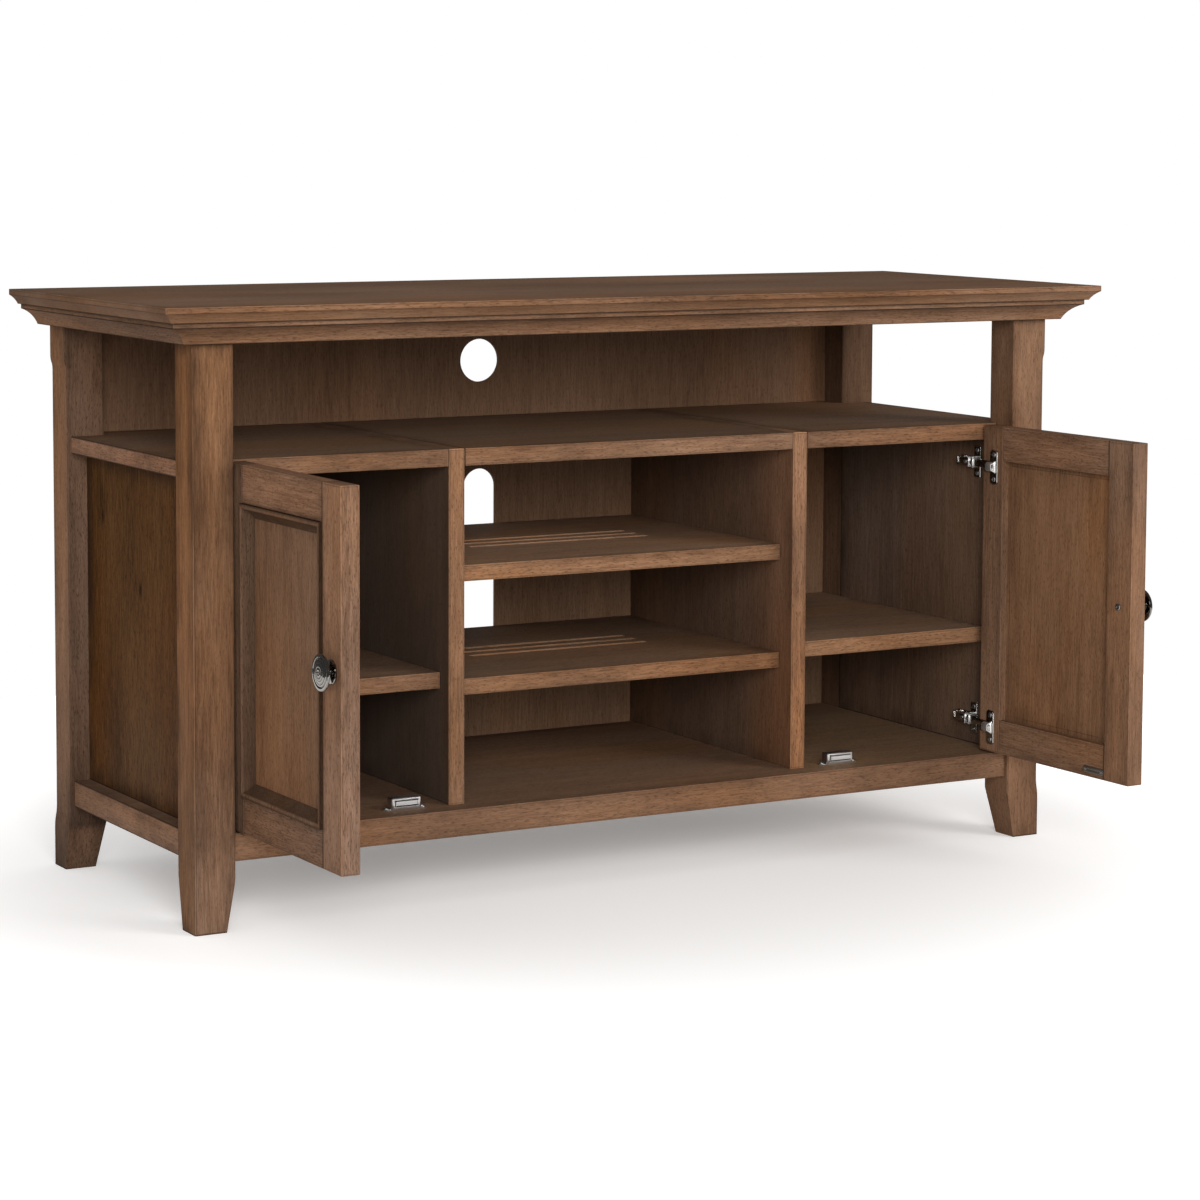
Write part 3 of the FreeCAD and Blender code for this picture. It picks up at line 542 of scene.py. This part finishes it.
def begin():
    if bpy.context.object and bpy.context.object.mode != "OBJECT":
        bpy.ops.object.mode_set(mode="OBJECT")
    bpy.ops.object.select_all(action="DESELECT")


def take(piece):
    begin()
    piece.select_set(True)
    bpy.context.view_layer.objects.active = piece


def pick(piece, test, kind="FACE"):             # edit mode, with the faces or edges that pass the test
    take(piece)
    bpy.ops.object.mode_set(mode="EDIT")
    bpy.ops.mesh.select_mode(type=kind)
    bpy.ops.mesh.select_all(action="DESELECT")
    bpy.ops.object.mode_set(mode="OBJECT")
    mesh = piece.data
    if kind == "FACE":
        for f in mesh.polygons:
            f.select = test(f.center, f.normal)
    else:
        for e in mesh.edges:
            a, b = [mesh.vertices[i].co for i in e.vertices]
            e.select = test((a + b) / 2, b - a)
    bpy.ops.object.mode_set(mode="EDIT")


def push(x=0.0, z=0.0):
    bpy.ops.mesh.extrude_region_move(TRANSFORM_OT_translate={"value": (x, 0.0, z)})


def startBlock(low, high):
    begin()
    bpy.ops.mesh.primitive_cube_add(size=1.0, location=(Vector(low) + Vector(high)) / 2)
    block = bpy.context.object
    block.scale = Vector(high) - Vector(low)
    bpy.ops.object.transform_apply(location=True, scale=True)
    return block


def startRound(radius, low, high, sides):
    begin()
    bpy.ops.mesh.primitive_cylinder_add(vertices=sides, radius=radius, depth=high - low,
                                        location=(0, 0, (low + high) / 2))
    bpy.ops.object.transform_apply(location=True)
    return bpy.context.object


def carve(piece, cutter):
    take(piece)
    tool = piece.modifiers.new("carve", "BOOLEAN")
    tool.operation = "DIFFERENCE"
    tool.object = cutter
    bpy.ops.object.modifier_apply(modifier=tool.name)
    bpy.data.objects.remove(cutter)


def roundOff(piece, width, segments=2, angle=35.0):
    take(piece)
    tool = piece.modifiers.new("roundOff", "BEVEL")
    tool.width = width
    tool.segments = segments
    tool.limit_method = "ANGLE"
    tool.angle_limit = math.radians(angle)
    bpy.ops.object.modifier_apply(modifier=tool.name)
    bpy.ops.object.shade_smooth_by_angle(angle=math.radians(angle))


def join(pieces):
    begin()
    for piece in pieces:
        piece.select_set(True)
    bpy.context.view_layer.objects.active = pieces[0]
    if len(pieces) > 1:
        bpy.ops.object.join()
    return pieces[0]


def copyTo(piece, place):
    made = bpy.data.objects.new(piece.name, piece.data.copy())
    made.data.transform(place)
    if place.determinant() < 0:
        made.data.flip_normals()
    bpy.context.scene.collection.objects.link(made)
    return made


def plate(piece, metal):
    dress(piece.data, metals[metal])
    return piece


def fitPiece(piece, node, body):                # stands for the node, in its place and finish
    piece.name = node + "_detailed"
    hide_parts(node)
    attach(piece, body)


def solidsOf(node, body):                       # the separate solids of a node, each as its corners
    spots = cornersOf(node, body)
    keys = [tuple(round(c, 5) for c in spot) for spot in spots]     # to a hundredth of a millimetre
    owner = {key: key for key in keys}

    def first(key):
        while owner[key] != key:
            owner[key] = owner[owner[key]]
            key = owner[key]
        return key

    for face in nodes[node].data.polygons:
        root = first(keys[face.vertices[0]])
        for i in face.vertices[1:]:
            owner[first(keys[i])] = root
    solids = {}
    for key, spot in zip(keys, spots):
        solids.setdefault(first(key), []).append(spot)
    return list(solids.values())


# pan head screws with a cross recess, in the places and sizes of the plain ones
screwSet = {"sides": 24, "crown": 0.55, "crownSteps": 4, "cross": 0.62, "crossTop": 1.5, "slot": 0.17,
            "depth": 0.55, "tip": 0.12, "tipWidth": 0.2, "smooth": 30.0, "turnStep": 0.9,
            "rimShare": 0.98, "tipReach": 0.0002}


def screwSeat(s, spots):                        # foot of the head, the way out, and the sizes
    low, high = spread(spots)
    axis = max(range(3), key=lambda i: high[i] - low[i])
    middle = (low + high) / 2
    flat = Vector([0.0 if i == axis else 1.0 for i in range(3)])
    far = [((p - middle) * flat).length for p in spots]
    radius = max(far)
    rim = [p[axis] for p, r in zip(spots, far) if r > radius * s["rimShare"]]
    out = 1.0 if sum(rim) / len(rim) > middle[axis] else -1.0
    foot = min(rim) if out > 0 else max(rim)
    top, tip = (high[axis], low[axis]) if out > 0 else (low[axis], high[axis])
    shank = max([r for p, r in zip(spots, far) if abs(p[axis] - tip) < s["tipReach"]])
    way = Vector([out if i == axis else 0.0 for i in range(3)])
    seat = Vector([foot if i == axis else middle[i] for i in range(3)])
    return seat, way, radius, abs(top - foot), shank, abs(foot - tip)


def makeScrew(s, radius, height, shank, length):
    screw = startRound(radius, 0.0, height, s["sides"])
    pick(screw, lambda c, n: n.z < -facing)
    bpy.ops.mesh.inset(thickness=radius - shank)
    push(z=-length * (1 - s["tip"]))
    push(z=-length * s["tip"])
    bpy.ops.transform.resize(value=(s["tipWidth"], s["tipWidth"], 1.0))
    pick(screw, lambda c, n: n.z > facing)
    bpy.ops.mesh.bevel(offset=height * s["crown"], segments=s["crownSteps"])
    half = radius * s["slot"]
    cross = startBlock((-half, -half, height * (1 - s["depth"])), (half, half, height * s["crossTop"]))
    pick(cross, lambda c, n: abs(n.z) < facing)
    bpy.ops.mesh.extrude_faces_move(TRANSFORM_OT_shrink_fatten={"value": radius * s["cross"] - half})
    carve(screw, cross)
    take(screw)
    bpy.ops.object.shade_smooth_by_angle(angle=math.radians(s["smooth"]))
    return screw


def fitScrews(node, body, s):
    seats = [screwSeat(s, spots) for spots in solidsOf(node, body)]
    model = makeScrew(s, *seats[0][2:])
    copies = []
    for k, seat in enumerate(seats):
        stand = Matrix.Translation(seat[0]) @ seat[1].to_track_quat("Z", "Y").to_matrix().to_4x4()
        copies.append(copyTo(model, bodyPlace(body) @ stand @ Matrix.Rotation(k * s["turnStep"], 4, "Z")))
    bpy.data.objects.remove(model)
    fitPiece(plate(join(copies), slotOf[node]), node, body)


for node in ("hinge_plate_screws", "catch_screws", "back_screws"):
    fitScrews(node, "cabinet", screwSet)
for hand in hands:
    for piece in ("leaf_screws", "strike_screws", "knob_screw"):
        fitScrews("door_%s_%s" % (hand, piece), hand + "_door", screwSet)
print("screws driven")

# pressed metal pieces, their edges rounded over
softSet = {"hinge_plates": 0.0005, "hinge_arms": 0.0011, "hinge_leaves": 0.0006, "strike": 0.0003,
           "catch": 0.0004}
flatAngle = 1.0                                 # faces closer than this, in degrees, are one face


def soften(node, width):
    piece = bpy.data.objects.new(node, nodes[node].data.copy())
    bpy.context.scene.collection.objects.link(piece)
    pick(piece, lambda c, n: True)
    bpy.ops.mesh.remove_doubles(threshold=mergeGap)
    bpy.ops.mesh.dissolve_limited(angle_limit=math.radians(flatAngle))
    roundOff(piece, width)
    return plate(piece, slotOf[node])


for hand in hands:
    for piece in ("hinge_plates", "catch"):
        node = "%s_%s" % (piece, hand)
        fitPiece(soften(node, softSet[piece]), node, "cabinet")
    node = "door_%s_strike" % hand
    fitPiece(soften(node, softSet["strike"]), node, hand + "_door")
print("fittings rounded")

# hinge arms: flanges across the foot, adjusting screws, a turned-up tail, from the plate's front end
armSet = {"plateLength": 0.045, "flanges": (0.0002, 0.0096), "flangeThick": 0.0013, "flangeHalf": 0.0072,
          "flangeRise": 0.0013, "flangeLip": 0.2, "round": 0.0004, "screws": (0.0055, 0.0190),
          "screwSize": (0.0029, 0.0009), "screwShank": (0.0014, 0.004),
          "tail": ((0.0, 0.0405, -0.0056), (0.0072, 0.0456, 0.0056)), "tailRim": 0.0012, "tailSink": 0.0008}


def makeArmFoot(s, rise):                       # outwards along x, back along y
    half = s["flangeHalf"]
    lip = s["flangeThick"] * s["flangeLip"]
    flange = startBlock((0.0, 0.0, -half), (rise + s["flangeRise"], s["flangeThick"], half))
    pick(flange, lambda c, n: n.x > facing)
    bpy.ops.mesh.inset(thickness=lip)
    push(x=lip)
    roundOff(flange, s["round"])
    plate(flange, "satin")
    screw = plate(makeScrew(screwSet, *s["screwSize"], *s["screwShank"]), "steel")
    tail = startBlock(*s["tail"])
    pick(tail, lambda c, n: n.x > facing)
    bpy.ops.mesh.inset(thickness=s["tailRim"])
    push(x=-s["tailSink"])
    roundOff(tail, s["round"])
    made = [plate(tail, "nickel")]
    for step in s["flanges"]:
        made.append(copyTo(flange, Matrix.Translation((0.0, step, 0.0))))
    for step in s["screws"]:
        stand = Matrix.Translation((rise, step, 0.0)) @ Matrix.Rotation(math.pi / 2, 4, "Y")
        made.append(copyTo(screw, stand))
    bpy.data.objects.remove(flange)
    bpy.data.objects.remove(screw)
    return join(made)


def fitArms(hand, s):
    node = "hinge_arms_" + hand
    out = hands[hand]
    made = [soften(node, softSet["hinge_arms"])]
    ends = [spread(spots) for spots in solidsOf(node, "cabinet")]
    foot = makeArmFoot(s, ends[0][1].x - ends[0][0].x)
    for low, high in ends:
        seat = Vector((low.x if out > 0 else high.x, high.y - s["plateLength"], (low.z + high.z) / 2))
        made.append(copyTo(foot, Matrix.Translation(seat) @ Matrix.Diagonal((out, 1, 1, 1))))
    bpy.data.objects.remove(foot)
    fitPiece(join(made), node, "cabinet")


# door leaves: a round hood with a flared neck, and a rolled edge, measured from the hinge pin
leafSet = {"hood": ((0.0048, 0.0165, -0.0062), (0.0165, 0.0232, 0.0062)), "neck": 0.0042, "flare": 1.45,
           "sink": 0.0042, "hoodRound": 0.0034, "hoodSteps": 5, "hoodEase": 0.0005,
           "roll": ((0.0238, 0.0168, -0.0205), (0.0252, 0.0184, 0.0205)), "rollRound": 0.0005, "rollSteps": 3,
           "rollEase": 0.0002}


def makeHood(s):
    hood = startBlock(*s["hood"])
    pick(hood, lambda c, n: n.x > facing)
    push(x=s["neck"])
    bpy.ops.transform.resize(value=(1.0, 1.0, s["flare"]))
    low, high = s["hood"]
    # the neck's far edge is let down to the leaf, and the long upper corners are rounded into a hood
    pick(hood, lambda m, d: m.x > high[0] + s["neck"] - slack and m.y > high[1] - slack, "EDGE")
    bpy.ops.transform.translate(value=(0, -s["sink"], 0))
    pick(hood, lambda m, d: m.y > low[1] + slack and abs(d.x) > slack, "EDGE")
    bpy.ops.mesh.bevel(offset=s["hoodRound"], segments=s["hoodSteps"])
    roundOff(hood, s["hoodEase"])
    roll = startBlock(*s["roll"])
    pick(roll, lambda m, d: m.y > s["roll"][1][1] - slack and abs(d.z) > slack, "EDGE")
    bpy.ops.mesh.bevel(offset=s["rollRound"], segments=s["rollSteps"])
    roundOff(roll, s["rollEase"])
    return plate(join([hood, roll]), "satin")


def fitLeaves(hand, s):
    node, body = "door_%s_hinge_leaves" % hand, hand + "_door"
    out = hands[hand]
    made = [soften(node, softSet["hinge_leaves"])]
    hood = makeHood(s)
    for spots in solidsOf(node, body):
        low, high = spread(spots)
        seat = Matrix.Translation((0, 0, (low.z + high.z) / 2)) @ Matrix.Diagonal((out, 1, 1, 1))
        made.append(copyTo(hood, bodyPlace(body) @ seat))
    bpy.data.objects.remove(hood)
    fitPiece(join(made), node, body)


for hand in hands:
    fitArms(hand, armSet)
    fitLeaves(hand, leafSet)
print("hinges fitted")

# turned knobs: flanged base, hollow neck, round rim, and rings cut round a low dome
knobSet = {"base": 0.0144, "baseThick": 0.0026, "ease": 0.0010, "neck": 0.0056, "rimThick": 0.0036,
           "grooveEdge": 0.0185, "groove": 0.0010, "dome": 0.0020, "domeEdge": 0.0159, "rings": 4,
           "ringDepth": 0.00034, "ringCuts": (0.0, 0.6, 1.0, 0.6), "ringWax": (0.65, 0.95),
           "grooveWax": (0.0007, 0.0003), "waxDepth": (0.0008, 0.0002), "turns": 72, "arcSteps": 6,
           "smooth": 25.0}


def arc(middle, radius, start, end, steps):     # points of a round stretch, in degrees
    angles = [math.radians(start + (end - start) * k / steps) for k in range(steps + 1)]
    return [(middle[0] + radius * math.cos(a), middle[1] + radius * math.sin(a)) for a in angles]


def knobOutline(s, radius, out):                # distance from the axis and height, base to dome
    face = out - s["dome"]
    under = face - s["rimThick"]
    waist, rim = (under - s["baseThick"]) / 2, s["rimThick"] / 2
    line = [(0.0, 0.0), (s["base"], 0.0), (s["base"], s["baseThick"] - s["ease"]),
            (s["base"] - s["ease"], s["baseThick"])]
    line += arc((s["neck"] + waist, s["baseThick"] + waist), waist, 270, 90, s["arcSteps"] * 2)
    line += arc((radius - rim, under + rim), rim, -90, 90, s["arcSteps"])
    middle = (s["grooveEdge"] + s["domeEdge"]) / 2
    line += [(s["grooveEdge"], face), (middle, face - s["groove"]), (s["domeEdge"], face)]
    ball = (s["domeEdge"] ** 2 + s["dome"] ** 2) / (2 * s["dome"])
    steps = s["rings"] * len(s["ringCuts"])
    for k in range(1, steps):
        far = s["domeEdge"] * (1 - k / steps)
        cut = s["ringCuts"][k % len(s["ringCuts"])] * s["ringDepth"]
        line.append((far, out - ball + math.sqrt(ball * ball - far * far) - cut))
    return line + [(0.0, out)]


def turnOnLathe(line, turns, smooth):
    begin()
    bpy.ops.mesh.primitive_circle_add(vertices=3, radius=0.001)     # merged to the outline's first point
    turned = bpy.context.object
    pick(turned, lambda c, n: True)
    bpy.ops.mesh.select_mode(type="VERT")
    bpy.ops.mesh.select_all(action="SELECT")
    bpy.ops.mesh.merge(type="CENTER")
    for a, b in zip(line, line[1:]):
        push(x=b[0] - a[0], z=b[1] - a[1])
    bpy.ops.mesh.select_all(action="SELECT")
    bpy.ops.mesh.spin(steps=turns, angle=2 * math.pi, center=(0, 0, 0), axis=(0, 0, 1))
    bpy.ops.mesh.select_all(action="SELECT")
    bpy.ops.mesh.remove_doubles(threshold=mergeGap)
    bpy.ops.mesh.normals_make_consistent(inside=False)
    take(turned)
    bpy.ops.object.shade_smooth_by_angle(angle=math.radians(smooth))
    return turned


def knobGrooves(coords, s, seat, turn, out):    # 1 in the rings and in the groove inside the rim
    place = coords.node("ShaderNodeMapping", {"vector_type": "TEXTURE"},
                        {"Vector": coords, "Location": seat, "Rotation": (0, 0, turn)})
    x, y, z = place.node("ShaderNodeSeparateXYZ", None, {0: place}).outs()
    disc = place.node("ShaderNodeCombineXYZ", None, {0: x, 2: z})
    far = disc.node("ShaderNodeVectorMath", {"operation": "LENGTH"}, {0: disc}, "Value")
    step = s["domeEdge"] / s["rings"] / 2
    rings = far.math("PINGPONG", far, step).ramp(*[step * share for share in s["ringWax"]])
    rings = rings * far.ramp(s["domeEdge"], s["domeEdge"] - step)
    groove = abs(far - (s["grooveEdge"] + s["domeEdge"]) / 2).ramp(*s["grooveWax"])
    face = out - s["dome"] - s["groove"]
    return rings.most(groove) * (0.0 - y).ramp(*[face - depth for depth in s["waxDepth"]])


def fitKnobs(s):
    model = None
    for hand in hands:
        node, body = "door_%s_knob" % hand, hand + "_door"
        low, high = spread(solidsOf(node, body)[0])
        out = high.y - low.y
        if not model:
            model = turnOnLathe(knobOutline(s, (high.z - low.z) / 2, out), s["turns"], s["smooth"])
        seat = Vector(((low.x + high.x) / 2, high.y, (low.z + high.z) / 2))
        stand = Matrix.Translation(seat) @ Matrix.Rotation(math.pi / 2, 4, "X")
        knob = copyTo(model, bodyPlace(body) @ stand)
        waxed = [s, bodyPlace(body) @ seat, bodyAxes(body)[1], out]
        plating = platedMetal(node, metalSet[slotOf[node]], lambda coords: knobGrooves(coords, *waxed))
        dress(knob.data, plating)
        fitPiece(knob, node, body)
    bpy.data.objects.remove(model)


fitKnobs(knobSet)
print("knobs turned")

# magnets between dark pole plates
magnetSet = {"bright": (0.70, 0.69, 0.68), "dark": (0.06, 0.055, 0.05), "core": (0.0026, 0.0024),
             "rough": 0.34, "cloud": 120.0, "cloudShades": (0.92, 1.06), "cloudRough": 0.1}


def magnetSteel(s):
    mat, shader, coords = newMaterial("magnet_steel")
    low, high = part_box("catch_magnets")
    up = coords.node("ShaderNodeSeparateXYZ", None, {0: coords}).outs()[2] - (low[2] + high[2]) / 2
    core = abs(up).ramp(*s["core"])
    cloud = coords.node("ShaderNodeTexNoise", None, {"Vector": coords, "Scale": s["cloud"],
                                                     "Detail": platingSet["cloudDetail"]})
    bright = cloud.over(*[rgba(s["bright"], level) for level in s["cloudShades"]])
    setShader(shader, {"Base Color": core.over(rgba(s["dark"]), bright), "Metallic": 1.0,
                       "Roughness": s["rough"] + (cloud - 0.5) * s["cloudRough"]})
    return mat


dress(nodes["catch_magnets"].data, magnetSteel(magnetSet))
print("catches finished")
